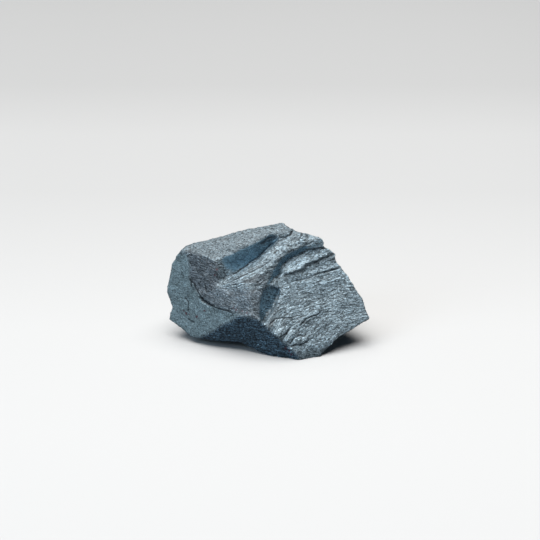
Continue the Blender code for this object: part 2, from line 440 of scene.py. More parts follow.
def crest_flow(at: Pair) -> Pair:
    """The crest's ridges: distance across them, and along them."""
    x, y = at[0] - CREST_TIP[0], at[1] - CREST_TIP[1]
    return np.arctan2(y, x) * CREST_REACH, np.hypot(x, y)


def slanted_flow(degrees: float) -> Flow:
    """Straight ridges at one slant.

    Args:
        degrees: Their climb to the right.

    Returns:
        Their flow.
    """
    c, s = math.cos(math.radians(degrees)), math.sin(math.radians(degrees))

    def flow(at: Pair) -> Pair:
        """Distance across the ridges, and along them."""
        return at[1] * c - at[0] * s, at[0] * c + at[1] * s

    return flow


# The zones' tones are in part painted light and shade, which make up for how each zone is lit.
PATCHES: tuple[Patch, ...] = (
    Patch(Zone.SLAB, (
        (-29, 25.5), (-24.8, 26.2), (-16.5, 24.2), (-9.5, 26.7), (-2.5, 30), (0.8, 32.3), (5, 31.6),
        (9, 34), (3, 38), (-10, 36), (-29, 31),
    ), tone=0.63, grit=0.65, veins=0.2),
    # The wedge's wall: its blue is partly painted shade, and its high tone is painted light that lifts
    # the overhanging wall.
    Patch(Zone.WEDGE, (
        (-14.8, 25.4), (-9.5, 27.3), (-2.5, 30.6), (0.9, 33), (3.2, 30.4), (1.8, 28), (-4.3, 22.6),
        (-9.6, 19), (-12, 18.4),
    ), STEEL_AND_SHADE_BLUE, tone=1.75, grit=0.5, veins=0, polish=0.8, feather=1.8, lid=0.5),
    # The wedge's right end, darker by painted shade.
    Patch(Zone.NOTCH, (
        (-5.5, 29.4), (0.8, 33), (3.2, 30.2), (-2, 24.4),
    ), tone=0.68, feather=3, lid=0.52),
    Patch(Zone.CREST, (
        (-15.6, 15.8), (-14.2, 17), (-10.4, 19), (-4.2, 23), (2.2, 28.4), (4, 31.6), (8.4, 34),
        (17.6, 31.5), (16.4, 30), (9.9, 27.4), (5.4, 25.4), (1.8, 20.5), (-0.2, 16.4), (-6, 15.6),
    ), tone=0.98, grit=0.85, veins=0.8),
    Patch(Zone.PEAK, (
        (0.2, 32.6), (3.4, 30.9), (6.7, 31.7), (7.8, 33.6), (4.6, 37), (1, 36),
    ), tone=1.1, grit=1.1, veins=0.8),
    Patch(Zone.STAIN, (
        (-6.9, 17.4), (-2.6, 20), (-0.6, 19.2), (-0.9, 16.6), (-4.2, 16.4),
    ), PURPLE, tone=0.72),
    # The face, its brow and its chin have raised tones that are partly painted light.
    Patch(Zone.FACE, (
        (-0.9, 3.4), (2.2, 7.4), (3.9, 13.4), (3.9, 15), (0.5, 16.1), (3.6, 18.9), (6.1, 23.1),
        (11.9, 26.6), (18.2, 30), (24, 27), (34, 8), (33, 3), (20, -3), (14, -4), (9.6, -5.4),
    ), tone=1.47, grit=0.9, veins=1),
    Patch(Zone.BROW, (
        (5, 23.8), (10.5, 27.4), (18, 31), (24, 27.6), (28, 18), (14, 15), (4.5, 15.8),
    ), tone=1.2, grit=0.85, feather=2.4),
    Patch(Zone.CHIN, (
        (1, 1.5), (9, 0.5), (17, 1.5), (21, -2), (15, -4.5), (9.6, -6.4), (4, -2),
    ), tone=1.15, feather=2.4),
    Patch(Zone.MIDDLE, (
        (-24.6, 27), (-16, 23.6), (-15, 18), (-16.2, 15.6), (-13, 15), (-6, 14.8), (-0.6, 15.4),
        (-2.3, 11), (-2.1, 5.6), (-8.6, 7.2), (-13, 8.1), (-17.6, 9.7), (-20.7, 12.2), (-23.4, 15.3),
        (-24.3, 18),
    ), PURPLE, tone=0.76, grit=0.95, veins=0.6, feather=2),
    Patch(Zone.SCAR, (
        (-25, 27.4), (-16, 23.8), (-14.4, 19.6), (-15.6, 15.8), (-17.2, 12.6), (-21.4, 12.6),
        (-23.6, 15.3), (-24.5, 18),
    ), BRUISE, feather=2.6),
    Patch(Zone.CHEEK, (
        (-28, 26), (-25.4, 25.6), (-24.4, 22), (-24.3, 18), (-20.7, 12.2), (-17.6, 9.7), (-13, 8.1),
        (-8.6, 7.2), (-21.7, -0.7), (-26, -2), (-34, 4), (-34, 22.5),
    ), TEAL, tone=1.08, grit=0.6, veins=0.2, polish=0.6, feather=1.6),
    # The underside: its navy blue and low tone are partly painted shade, as it faces down.
    Patch(Zone.UNDERCUT, (
        (-21.5, -0.9), (-8.4, 6.8), (-2.8, 5.2), (1, 1.6), (9.4, -5.9), (9.4, -9), (-8, -6), (-24, -3),
    ), NAVY_AND_SHADE_BLUE, tone=0.66, grit=1.5, veins=0.9, polish=0.3, feather=1.4),
    # The hollow: its blue and its tone are partly painted shade, on top of its own recess.
    Patch(Zone.HOLLOW, (
        (-2, 4.6), (-2.5, 7.5), (-2.3, 11.6), (-1.6, 15), (0.6, 15.9), (3.6, 15.2), (3.4, 12.4),
        (2.2, 9.6),
    ), STEEL_AND_SHADE_BLUE, tone=0.95, grit=0.9, veins=0.1, polish=0.7, feather=0.6, lid=0.62),
    # The band in the groove below the crest: its blue is painted shade, and its tone lifts it with
    # painted light.
    Patch(Zone.BAND, (
        (-0.4, 16.2), (1.8, 20.7), (3.6, 23.5), (5.4, 25.6), (9.6, 27.5), (12, 28.3), (12.4, 27.4),
        (9.6, 26), (5.7, 23.3), (3.2, 19.2), (0.6, 16.5),
    ), STEEL_AND_SHADE_BLUE, tone=1.7, grit=0.9, veins=0.1, polish=0.7, feather=0.6, lid=0.45),
    # The lip: its high tone on the steeper faces is painted light.
    Patch(Zone.LIP, (
        (11.4, 25.6), (12.2, 28.8), (17.4, 31), (18.4, 28.6), (14.5, 26.2),
    ), tone=2.2, feather=1, lid=0.45),
)

STRIAE: tuple[Striae, ...] = (
    Striae(Zone.FACE, face_flow, 1.25, 0.09, 5, 1),
    Striae(Zone.FACE, face_flow, 0.7, 0.07, 3, 2),
    Striae(Zone.CREST, crest_flow, 1.2, 0.2, 6, 3),
    Striae(Zone.CREST, crest_flow, 0.68, 0.08, 3, 4),
    Striae(Zone.MIDDLE, slanted_flow(-24), 1.3, 0.1, 2, 5),
    Striae(Zone.SLAB, slanted_flow(17), 1.5, 0.05, 3, 6),
    Striae(Zone.UNDERCUT, slanted_flow(-14), 1.4, 0.1, 2.4, 7),
    Striae(Zone.CHEEK, slanted_flow(-8), 2.6, 0.05, 4, 8),
)

# Cracks, and the undersides of the face's folds; each gets painted shade by its dark share.
CRACKS: tuple[Crack, ...] = (
    Crack(((-24.3, 18.4), (-23.9, 16.8), (-24.1, 15.4)), 0.4),
    Crack(((-24, 18), (-23, 16.4), (-21.9, 13.6), (-20.8, 12.2)), 0.3),
    Crack(((-21.6, 12.6), (-19.4, 11), (-17, 9.3)), 0.8, 0.62, 1),
    Crack(((-17.8, 9.9), (-15.6, 8.8), (-13, 8.2), (-10.6, 7.6)), 0.35, 0.3, 0.8),
    Crack(((-26.1, 12.2), (-25, 11), (-24.7, 8.8), (-25.4, 7.6)), 0.4, 0.3, 1),
    Crack(
        ((2.9, 30), (0.8, 28.7), (-2.9, 25.1), (-7.1, 22.1), (-10.5, 19.6), (-11.8, 18.7)),
        0.25, 0.3, 0.8,
    ),
    Crack(((-2.6, 28.8), (0.2, 30.3), (3, 31.4)), 0.2, 1, 0.8),
    Crack(((-14.4, 16), (-8.5, 18.8), (-2.8, 21.6), (2.2, 25)), 0.2, 0.3, 0.85),
    Crack(((-14, 15.4), (-7.8, 17), (-2.3, 18.7)), 0.2, 0.3, 0.85),
    Crack(((-19.6, 16.6), (-19, 14.4)), 0.3),
    Crack(((-25, 5.8), (-24, 5), (-22.6, 4.6)), 0.2),
    Crack(((9.6, 3.4), (12.2, 5.8), (15, 7), (16.9, 8.2)), 0.3),
    Crack(((-0.4, 3.4), (2.4, 5.8), (4, 5.9), (8.4, 6.6)), 0.25),
    Crack(((6.2, -2.6), (9.8, -2.2), (12.8, -0.6)), 0.3),
    Crack(((3.4, 30.9), (5, 30.8), (6.7, 31.7), (7.8, 33.4)), 0.4, 0.35, 0.7),
    Crack(((11, 33.2), (10.3, 32), (9.3, 29.8)), 0.4, 0.4, 0.6),
    # The next seven are the undersides of the face's folds, in painted shade.
    Crack(((10.3, 21.8), (15.3, 23.2), (17.5, 24.3), (22.4, 26.4)), 0.4, 1, 0.35),
    Crack(((4.3, 19), (7.6, 19.8), (12.6, 21.2)), 0.4, 1, 0.4),
    Crack(((11.1, 27), (15, 27.5), (20.2, 28)), 0.25, 0.5, 0.6),
    Crack(((6, 17.1), (12.3, 18.4), (18, 20.3), (24.6, 22)), 0.2, 0.6, 0.4),
    Crack(((18.4, 25.8), (21.6, 26.4)), 0.25, 0.4, 0.6),
    Crack(((15, 19.5), (18, 20.1), (22.8, 21.7)), 0.25, 0.4, 0.6),
    Crack(((18.2, 23.7), (20.4, 23.9), (22.8, 24.6)), 0.25, 0.4, 0.5),
    Crack(((1.6, -0.6), (3.6, 0.1), (6, 1.6), (7, 3.2)), 0.3, 0.35, 0.7),
    Crack(((6.6, -2.2), (7.4, -0.6), (9.8, 0.8), (11.8, 0.2)), 0.25, 0.3, 0.7),
)

LOBES: tuple[Lobe, ...] = (
    Lobe((3.8, 1.4), 3.2, 1.5, 34, 0.7),
    Lobe((6.9, 0.7), 2.4, 1.1, 42, 0.5),
    Lobe((9.8, -0.9), 2.8, 1.5, 20, 0.6),
    Lobe((1.4, 4.2), 2, 1.1, 40, 0.2),
)

# Spots that are partly painted light and shade, partly the ore's own colour.
SHADE_AND_COLOUR_SPOTS: tuple[ShadeAndColourSpot, ...] = (
    ShadeAndColourSpot((2, 6.6), 4.2, 1.3, 66, 0.62),
    ShadeAndColourSpot((-2, 11.4), 3.8, 1.3, 90, 1.5),
    ShadeAndColourSpot((-23.3, 23), 3.4, 2.4, 90, 1.3),
    ShadeAndColourSpot((-16.3, 19), 1.4, 1.1, 0, 1.25),
    ShadeAndColourSpot((-6, 16.9), 1.8, 1.1, 20, 0.75),
    ShadeAndColourSpot((-12.7, 10.3), 3, 1.2, -25, 0.76),
    ShadeAndColourSpot((3, 17.7), 2.2, 1, 0, 0.74),
    ShadeAndColourSpot((12.9, 1.6), 1.8, 1.4, 30, 0.86),
    ShadeAndColourSpot((18.8, 16), 4.8, 1.7, 12, 1.2),
    ShadeAndColourSpot((10.6, 29.6), 1.8, 1, 60, 1.25),
    ShadeAndColourSpot((20.5, 26.2), 1.6, 1, 0, 1.25),
    ShadeAndColourSpot((22, 9.8), 3.4, 1.6, 0, 1.12),
    ShadeAndColourSpot((-13, 31.4), 3.6, 1.2, 14, 0.88),
    ShadeAndColourSpot((9.3, 4.3), 2, 0.8, 60, 0.82),
)

# Raised ridges along edges and on the crest, each lit with a painted highlight.
HIGHLIGHT_RIDGES: tuple[Crack, ...] = (
    Crack(((-20.6, 25.5), (-18.6, 24.7), (-16.4, 23.8)), 0.15, 0.4),
    Crack(((-0.6, 29.6), (0.8, 30.3), (2.2, 31)), 0.25, 0.36),
    Crack(((1.2, 29.4), (2.4, 30.2), (3.4, 31.2)), 0.2, 0.3),
    Crack(((-15.6, 15.7), (-10.4, 19), (-5.9, 22.1), (-0.3, 25.8), (3, 28.4)), 0.2, 0.4),
    Crack(((-15.2, 15.5), (-9.1, 17.8), (-4.1, 20.4)), 0.2, 0.35),
    Crack(((-14.8, 15.3), (-8.5, 16.2), (-2.8, 17.1)), 0.16, 0.35),
    Crack(((0.8, -2.5), (4, -3), (7.6, -3.3)), 0.12, 0.35),
    Crack(((2.6, -3.9), (5.4, -4.1), (8.4, -4.4)), 0.12, 0.35),
    Crack(((-2.4, -1), (0.4, -1.6), (2.8, -1.9)), 0.12, 0.3),
)

RUST: tuple[Triple, ...] = (
    (-25.7, 7.4, 0.45), (-22.3, 6.3, 0.4), (-19.6, 8.3, 0.35), (-24.4, 7, 0.25), (-15.9, 20.9, 0.4),
    (-26.5, 8, 0.25), (-10.6, 9.3, 0.25), (-9.6, 8.7, 0.25), (-8, 8.2, 0.25), (-6.4, 7.7, 0.25),
    (-16.6, 19.2, 0.3), (5.4, -3.2, 0.4), (6.4, -4.1, 0.35), (7.2, -5, 0.35),
)


@dataclass(frozen=True)
class Survey:
    """Where the surface's vertices lie on the front, and how much they belong to each zone."""

    points: Array
    at: Pair
    facing: Array
    masks: dict[Zone, Array]
    hidden: Array
    polish: Array


@dataclass
class Skin:
    """The lump's whole surface, in place of the plain solid.

    Swells and crumbs are its larger and its smaller roundish bumps, and fray is how far the
    zones' borders wander. The flat noise is how far smoothing moves a flat face's vertices.
    """

    view: FrontView
    voxel: float = 0.3
    passes: int = 9
    flat_noise: float = 0.09
    fray: float = 0.3
    fray_size: float = 2.5
    swell: float = 0.1
    swell_size: float = 2.4
    crumb: float = 0.06
    crumb_size: float = 0.9
    hidden_pitch: float = 1.5
    hidden_height: float = 0.2
    # How much the ridges' painted highlight lightens the colour.
    ridge_highlight_gain: float = 0.75
    object: Object | None = field(default=None, init=False)
    links: Array | None = field(default=None, init=False)

    @property
    def mesh(self) -> Mesh:
        """The surface's mesh."""
        return self.object.data

    def build(self, node: Object) -> None:
        """Makes the detailed surface from the solid.

        Args:
            node: The solid.
        """
        self.object = add_object("hematite_skin", self.fine_copy(node))
        ends = np.empty(len(self.mesh.edges) * 2, int)
        self.mesh.edges.foreach_get("vertices", ends)
        self.links = ends.reshape(-1, 2)
        points = self.calm(self.read("co") / MM)
        self.write(points)
        points = self.roughen(points)
        self.write(points)
        self.store_relief(points)
        for polygon in self.mesh.polygons:
            polygon.use_smooth = True

    def fine_copy(self, node: Object) -> Mesh:
        """A copy of the solid's mesh, merged and remeshed finely.

        Args:
            node: The solid.

        Returns:
            The fine mesh.
        """
        bm = bmesh.new()
        bm.from_mesh(node.data)
        bmesh.ops.remove_doubles(bm, verts=list(bm.verts), dist=1e-6)
        merged = bpy.data.meshes.new("merged")
        bm.to_mesh(merged)
        bm.free()
        holder = add_object("holder", merged)
        remesh = holder.modifiers.new("fine", "REMESH")
        remesh.mode = "VOXEL"
        remesh.voxel_size = self.voxel * MM
        return bake_down(holder, "hematite_skin")

    def read(self, what: str) -> Array:
        """Reads a property of the vertices.

        Args:
            what: The property's name.

        Returns:
            One row of three numbers for each vertex.
        """
        values = np.empty(len(self.mesh.vertices) * 3)
        self.mesh.vertices.foreach_get(what, values)
        return values.reshape(-1, 3)

    def write(self, points: Array) -> None:
        """Sets the vertices' places, none of them under the floor.

        Args:
            points: The places in millimetres.
        """
        points[:, 2] = np.maximum(points[:, 2], 0.0)
        self.mesh.vertices.foreach_set("co", (points * MM).ravel())
        self.mesh.update()

    def smooth(self, values: Array, passes: int) -> Array:
        """Evens out values over the mesh.

        Args:
            values: One row for each vertex.
            passes: How often to do it.

        Returns:
            The evened values.
        """
        links = self.links
        count = np.bincount(links.ravel(), minlength=len(values))[:, None]
        for _ in range(passes):
            total = np.zeros_like(values)
            np.add.at(total, links[:, 0], values[links[:, 1]])
            np.add.at(total, links[:, 1], values[links[:, 0]])
            values = 0.4 * values + 0.6 * total / count
        return values

    def calm(self, points: Array) -> Array:
        """Evens out the solid's small flat faces, but keeps its edges.

        Args:
            points: The vertices.

        Returns:
            The calmed vertices.
        """
        evened = self.smooth(points, self.passes)
        moved = np.linalg.norm(evened - points, axis=1)
        kept = ramp((moved - self.flat_noise) / self.flat_noise)[:, None]
        return self.smooth(evened + (points - evened) * kept, 1)

    def roughen(self, points: Array) -> Array:
        """Moves the surface in and out, and stores each zone's traits on it.

        Args:
            points: Its vertices in millimetres.

        Returns:
            The moved vertices.
        """
        normals = self.read("normal")
        survey = self.survey(points, normals)
        at, facing = survey.at, survey.facing
        rise = self.forms(survey)
        crease_shade, ridge_highlight, rust = np.zeros((3, len(points)))
        # Cracks and fold undersides sink, and their painted shade is kept.
        for crack in CRACKS:
            line = crack.line(at) * facing
            rise -= crack.depth * line
            crease_shade = np.maximum(crease_shade, crack.dark * line)
        # The highlight ridges rise, and their painted highlight is kept.
        for crack in HIGHLIGHT_RIDGES:
            line = crack.line(at) * facing
            rise += crack.depth * line
            ridge_highlight = np.maximum(ridge_highlight, line)
        for x, y, size in RUST:
            rust = np.maximum(rust, ramp(1.3 - np.hypot(at[0] - x, at[1] - y) / size) * facing)
        for name, values in (("polish", survey.polish), ("crease_shade", crease_shade), ("rust", rust)):
            self.store(name, values)
        self.paint(survey, ridge_highlight)
        self.store_flow(survey)
        return points + normals * rise[:, None]

    def survey(self, points: Array, normals: Array) -> Survey:
        """Finds the vertices' places on the front, and their zones.

        Args:
            points: The vertices in millimetres.
            normals: Their normals.

        Returns:
            What it found.
        """
        across, up = self.view.layout(points)
        across = across + self.fray * fractal(points, self.fray_size, 31.0)
        up = up + self.fray * fractal(points, self.fray_size, 47.0)
        facing = ramp((normals @ np.array(self.view.toward) + 0.05) / 0.15)
        masks = {patch.zone: patch.mask((across, up)) * facing for patch in PATCHES}
        hidden = np.clip(1.0 - sum(masks.values()), 0.0, 1.0)
        for patch in PATCHES:
            masks[patch.zone] = masks[patch.zone] * ramp((patch.lid - normals[:, 2]) / 0.12)
        polish = sum(patch.polish * masks[patch.zone] for patch in PATCHES)
        return Survey(points, (across, up), facing, masks, hidden, polish)

    def forms(self, survey: Survey) -> Array:
        """How far the bumps, ridges and lobes stand out.

        Args:
            survey: The vertices' places and zones.

        Returns:
            Heights in millimetres.
        """
        points, masks, polish = survey.points, survey.masks, survey.polish
        ridged = 1.0 - 0.7 * masks[Zone.FACE]
        rise = self.swell * fractal(points, self.swell_size, 3.0) * (1.0 - 0.8 * polish) * ridged
        rise *= 1.0 - 0.5 * masks[Zone.CREST]
        rise += self.crumb * fractal(points, self.crumb_size, 7.0) * (1.0 - 0.4 * polish) * ridged
        for striae in STRIAE:
            rise += masks[striae.zone] * striae.rise(survey.at)
        rise += survey.hidden * self.hidden_ridges(points)
        for lobe in LOBES:
            rise += masks[Zone.FACE] * lobe.rise(survey.at)
        return rise

    def hidden_ridges(self, points: Array) -> Array:
        """Ridges for the sides that the front doesn't show, along the ore's tilted beds.

        Args:
            points: Vertices in millimetres.

        Returns:
            Heights in millimetres.
        """
        over, along, depth = self.beds(points)
        bend = wander(along / 6.0, over / 4.0, depth / 9.0, 91.0)
        turn = 1.6 * bend - over / self.hidden_pitch
        vigour = wander(along / 5.0, np.floor(turn) * RIDGE_STEP, depth / 5.0, 95.0)
        return self.hidden_height * ridge(turn) * np.clip(0.6 + 1.4 * vigour, 0.0, 1.5)

    @staticmethod
    def beds(points: Array) -> list[Array]:
        """Distances across the ore's tilted beds, along them and into them."""
        return [points @ np.array(Vector(way).normalized()) for way in BEDS]

    def paint(self, survey: Survey, ridge_highlight: Array) -> None:
        """Stores each vertex's colour, with its zones' and spots' painted light and shade and its
        ridges' painted highlights, and how coarse and how veined it looks.

        Args:
            survey: The vertices' places and zones.
            ridge_highlight: How much each vertex lies on a raised ridge with a painted highlight.
        """
        count, plain = len(survey.points), np.array(ORE)
        tint = np.tile(plain, (count, 1))
        tone, grit, veins = np.ones(count), np.ones(count), np.full(count, PLAIN_VEINS)
        for patch in PATCHES:
            mask = survey.masks[patch.zone]
            tint += (np.array(patch.tint) - plain) * mask[:, None]
            tone *= 1.0 + (patch.tone - 1.0) * mask
            grit *= 1.0 + (patch.grit - 1.0) * mask
            veins += (patch.veins - PLAIN_VEINS) * mask
        # The spots' tones are partly painted light and shade.
        for shade_spot in SHADE_AND_COLOUR_SPOTS:
            tone *= 1.0 + (shade_spot.shade(survey.at) - 1.0) * survey.facing
        # Painted highlights on the ridges lighten the colour.
        tint = np.maximum(tint, 0.02) * (tone * (1.0 + self.ridge_highlight_gain * ridge_highlight))[:, None]
        opaque = np.concatenate([tint, np.ones((count, 1))], axis=1)
        self.store("tint", opaque, "FLOAT_COLOR", "color")
        self.store("grit", grit)
        self.store("veins", veins)

    def store_flow(self, survey: Survey) -> None:
        """Stores for each vertex its distance along and across the ore's grain, in metres.

        Args:
            survey: The vertices' places and zones.
        """
        over, along, depth = self.beds(survey.points)
        flow = np.stack([along, over, depth], axis=1)
        courses = {
            Zone.FACE: face_flow,
            Zone.CREST: crest_flow,
            Zone.MIDDLE: slanted_flow(-24.0),
            Zone.UNDERCUT: slanted_flow(-10.0),
        }
        for zone, course in courses.items():
            over, along = course(survey.at)
            within = survey.masks[zone] > 0.5
            flow[within] = np.stack([along, over, np.zeros(len(over))], axis=1)[within]
        self.store("flow", flow * MM, "FLOAT_VECTOR", "vector")

    def store_relief(self, points: Array) -> None:
        """Stores how far each vertex stands out from its surroundings, from -1 to 1.

        Args:
            points: The vertices in millimetres.
        """
        normals = self.read("normal")
        close = ((points - self.smooth(points, 3)) * normals).sum(axis=1) / 0.05
        wide = ((points - self.smooth(points, 14)) * normals).sum(axis=1) / 0.2
        self.store("relief", np.clip(0.5 * close + 0.5 * wide, -1.0, 1.0))

    def store(self, name: str, values: Array, kind: str = "FLOAT", part: str = "value") -> None:
        """Keeps a number, colour or vector for each vertex as an attribute."""
        attribute = self.mesh.attributes.new(name, kind, "POINT")
        attribute.data.foreach_set(part, values.astype(np.float32).ravel())

    def dress(self, material: Material) -> None:
        """Gives the surface its material and its place in the frame.

        Args:
            material: The ore's material.
        """
        self.mesh.materials.clear()
        self.mesh.materials.append(material)
        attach(self.object, "root")
        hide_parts("hematite")


@dataclass(frozen=True)
class Tree:
    """A node tree that is being built."""

    tree: NodeTree

    def add(self, kind: str, *sources: object, **settings: object) -> Node:
        """Adds a node.

        Args:
            kind: Its type name.
            sources: What goes into its first inputs in order: a socket, a value or None.
            settings: Properties to set on it.

        Returns:
            The node.
        """
        node = self.tree.nodes.new(kind)
        for name, value in settings.items():
            setattr(node, name, value)
        for socket, source in zip(node.inputs, sources):
            self.feed(source, socket)
        return node

    def feed(self, source: object, socket: Socket) -> None:
        """Links a socket to an input, or sets the input's value.

        Args:
            source: The socket or the value, or None to leave the input alone.
            socket: The input.
        """
        if isinstance(source, Socket):
            self.tree.links.new(source, socket)
        elif source is not None:
            socket.default_value = source

    def fill(self, node: Node, values: dict[str, object]) -> Node:
        """Feeds a node's named inputs.

        Args:
            node: The node.
            values: The source of each input, by the input's name.

        Returns:
            The node.
        """
        for name, source in values.items():
            self.feed(source, node.inputs[name])
        return node

    def maths(self, operation: str, *sources: object) -> Socket:
        """A Math node's result."""
        return self.add("ShaderNodeMath", *sources, operation=operation).outputs[0]

    def times(self, first: object, second: object) -> Socket:
        """One value times another."""
        return self.maths("MULTIPLY", first, second)

    def plus(self, first: object, second: object) -> Socket:
        """One value plus another."""
        return self.maths("ADD", first, second)

    def minus(self, first: object, second: object) -> Socket:
        """One value less another."""
        return self.maths("SUBTRACT", first, second)

    def mix(self, share: object, first: object, second: object, blend: str = "MIX") -> Socket:
        """Two colours mixed.

        Args:
            share: How much of the second there is.
            first: The first colour.
            second: The second colour.
            blend: How they mix.

        Returns:
            The mixed colour.
        """
        node = self.add("ShaderNodeMix", data_type="RGBA", blend_type=blend)
        self.feed(share, node.inputs["Factor"])
        self.feed(first, node.inputs[MIX_FIRST])
        self.feed(second, node.inputs[MIX_SECOND])
        return node.outputs[MIX_RESULT]

    def grey(self, value: object) -> Socket:
        """A grey of the given value."""
        return self.add("ShaderNodeCombineColor", value, value, value).outputs[0]

    def attribute(self, name: str, output: str = "Fac") -> Socket:
        """One of the piece's stored numbers, colours or vectors."""
        return self.add("ShaderNodeAttribute", attribute_name=name).outputs[output]

    def object_points(self) -> Socket:
        """Object coordinates."""
        return self.add("ShaderNodeTexCoord").outputs["Object"]

    def noise(self, points: Socket, size: float, detail: float = 0.0, rough: float = 0.5) -> Socket:
        """Noise with lumps of a size in millimetres, and detail finer sizes of lumps on them."""
        values = {"Vector": points, "Scale": 1.0 / (size * MM), "Detail": detail, "Roughness": rough}
        return self.fill(self.add("ShaderNodeTexNoise"), values).outputs["Fac"]

    def stretch(self, value: object, low: float, high: float, to_low: float, to_high: float) -> Socket:
        """A value's range moved to another, held at its ends."""
        return self.add("ShaderNodeMapRange", value, low, high, to_low, to_high).outputs[0]


def new_group(
    name: str, inputs: dict[str, float], outputs: Sequence[str]
) -> tuple[Tree, bpy.types.NodeOutputs, bpy.types.NodeInputs]:
    """Starts a shader node group whose inputs and outputs are all numbers.

    Args:
        name: Its name.
        inputs: The default of each named input.
        outputs: The outputs' names.

    Returns:
        The group's tree, the sockets that give its inputs and those that take its outputs.
    """
    group = bpy.data.node_groups.new(name, "ShaderNodeTree")
    for label, default in inputs.items():
        socket = group.interface.new_socket(label, in_out="INPUT", socket_type="NodeSocketFloat")
        socket.default_value = default
    for label in outputs:
        group.interface.new_socket(label, in_out="OUTPUT", socket_type="NodeSocketFloat")
    tree = Tree(group)
    return tree, tree.add("NodeGroupInput").outputs, tree.add("NodeGroupOutput").inputs


def speckle_group() -> NodeTree:
    """The grain of the ore: bright and dark grains drawn out along its flow, and thin veins.

    Returns:
        The group, with Shade, about 1; Height, from 0 to 1; and Glint, 1 on a few grains.
    """
    sizes = {"Size": 0.45, "Strength": 1.0}
    tree, given, made = new_group("ore_speckle", sizes, ("Shade", "Height", "Glint"))
    flow = tree.attribute("flow", "Vector")
    drawn, long = (
        tree.add("ShaderNodeVectorMath", flow, (along, 1.0, 0.7), operation="MULTIPLY").outputs[0]
        for along in (0.4, 0.14)
    )
    cells = tree.add("ShaderNodeTexVoronoi")
    scale = tree.maths("DIVIDE", 1.0 / MM, given["Size"])
    tree.fill(cells, {"Vector": tree.object_points(), "Scale": scale})
    grain, lift, glint = tree.add("ShaderNodeSeparateColor", cells.outputs["Color"]).outputs[:3]

    streak = tree.noise(drawn, 0.31)
    thread = tree.noise(long, 0.34)
    fine = tree.noise(tree.object_points(), 0.26)
    mottle = tree.times(tree.minus(grain, 0.5), 0.8)
    for part, weight in ((streak, 2.3), (thread, 1.4), (fine, 2.7)):
        mottle = tree.plus(mottle, tree.times(tree.minus(part, 0.5), weight))
    shade = tree.plus(1.0, tree.times(mottle, given["Strength"]))

    winding = tree.noise(drawn, 1.3, 1.0)
    vein = tree.stretch(tree.maths("ABSOLUTE", tree.minus(winding, 0.5)), 0.02, 0.07, 1.0, 0.0)
    vein = tree.times(vein, tree.attribute("veins"))
    shade = tree.times(shade, tree.minus(1.0, tree.times(vein, 0.52)))
    height = tree.plus(tree.times(streak, 0.7), tree.times(lift, 0.3))
    height = tree.minus(height, tree.times(vein, 0.5))
    tree.feed(tree.maths("MAXIMUM", shade, 0.2), made["Shade"])
    tree.feed(height, made["Height"])
    tree.feed(tree.maths("GREATER_THAN", glint, 0.93), made["Glint"])
    return tree.tree


def relief_light_group() -> NodeTree:
    """Painted highlights on edges and painted shade in hollows, from how far the surface stands out.

    Returns:
        The group, with Shade, a factor for the ore's colour.
    """
    tree, given, made = new_group("ore_relief_light", {"Bright": 0.3, "Dark": 0.5}, ("Shade",))
    relief = tree.attribute("relief")
    # Edges that stand out get a painted highlight, hollows get painted shade.
    edge = tree.stretch(relief, 0.1, 0.9, 0.0, 1.0)
    hollow_darkening = tree.stretch(relief, -0.1, -0.9, 0.0, 1.0)
    lit = tree.plus(1.0, tree.times(edge, given["Bright"]))
    dimmed = tree.minus(1.0, tree.times(hollow_darkening, given["Dark"]))
    tree.feed(tree.times(lit, dimmed), made["Shade"])
    return tree.tree


@dataclass(frozen=True)
class OreFinish:
    """How a piece of the ore looks: its colours, its grain, and its painted highlights on edges
    and painted shade in hollows.
    """

    name: str
    brightness: float = 1.2
    rust: Colour = (0.1, 0.02, 0.03)
    # The colour of the painted shade in cracks and under the folds.
    crease_shade_colour: Colour = (0.012, 0.016, 0.022)
    metallic: float = 0.35
    roughness: float = 0.5
    glint: float = 0.22
    grain_size: float = 0.34
    grain_strength: float = 0.9
    # The painted highlight on edges and the painted shade in hollows.
    edge_highlight: float = 0.12
    hollow_shade: float = 0.42
    cloud_size: float = 5.0
    clouds: float = 0.05
    bump: float = 0.5
    bump_depth: float = 0.22

    def material(self, speckle: NodeTree, relief_light: NodeTree) -> Material:
        """Builds the material.

        Args:
            speckle: The grain group.
            relief_light: The group of painted edge highlights and hollow shade.

        Returns:
            The material.
        """
        material = bpy.data.materials.new(self.name)
        material.use_nodes = True
        tree, shader = Tree(material.node_tree), material.node_tree.nodes["Principled BSDF"]
        coarse = tree.times(tree.attribute("grit"), self.grain_strength)
        grain = tree.add("ShaderNodeGroup", self.grain_size, coarse, node_tree=speckle)
        relief_lit = tree.add("ShaderNodeGroup", self.edge_highlight, self.hollow_shade, node_tree=relief_light)

        cloud = tree.noise(tree.object_points(), self.cloud_size, 3.0, 0.6)
        cloud = tree.stretch(cloud, 0.3, 0.7, 1.0 - self.clouds, 1.0 + self.clouds)
        shade = tree.times(grain.outputs["Shade"], relief_lit.outputs["Shade"])
        shade = tree.times(shade, tree.times(cloud, self.brightness))
        colour = tree.mix(1.0, tree.attribute("tint", "Color"), tree.grey(shade), "MULTIPLY")
        colour = tree.mix(tree.attribute("rust"), colour, (*self.rust, 1.0))
        # Painted shade in the cracks and under the folds.
        colour = tree.mix(tree.attribute("crease_shade"), colour, (*self.crease_shade_colour, 1.0))

        shiny = self.roughness - self.glint
        gloss = tree.stretch(grain.outputs["Glint"], 0.0, 1.0, self.roughness, shiny)
        bump = {"Strength": self.bump, "Distance": self.bump_depth * MM}
        bump["Height"] = grain.outputs["Height"]
        bent = tree.fill(tree.add("ShaderNodeBump"), bump).outputs["Normal"]
        look = {"Base Color": colour, "Roughness": gloss, "Metallic": self.metallic}
        tree.fill(shader, {**look, "Normal": bent})
        return material


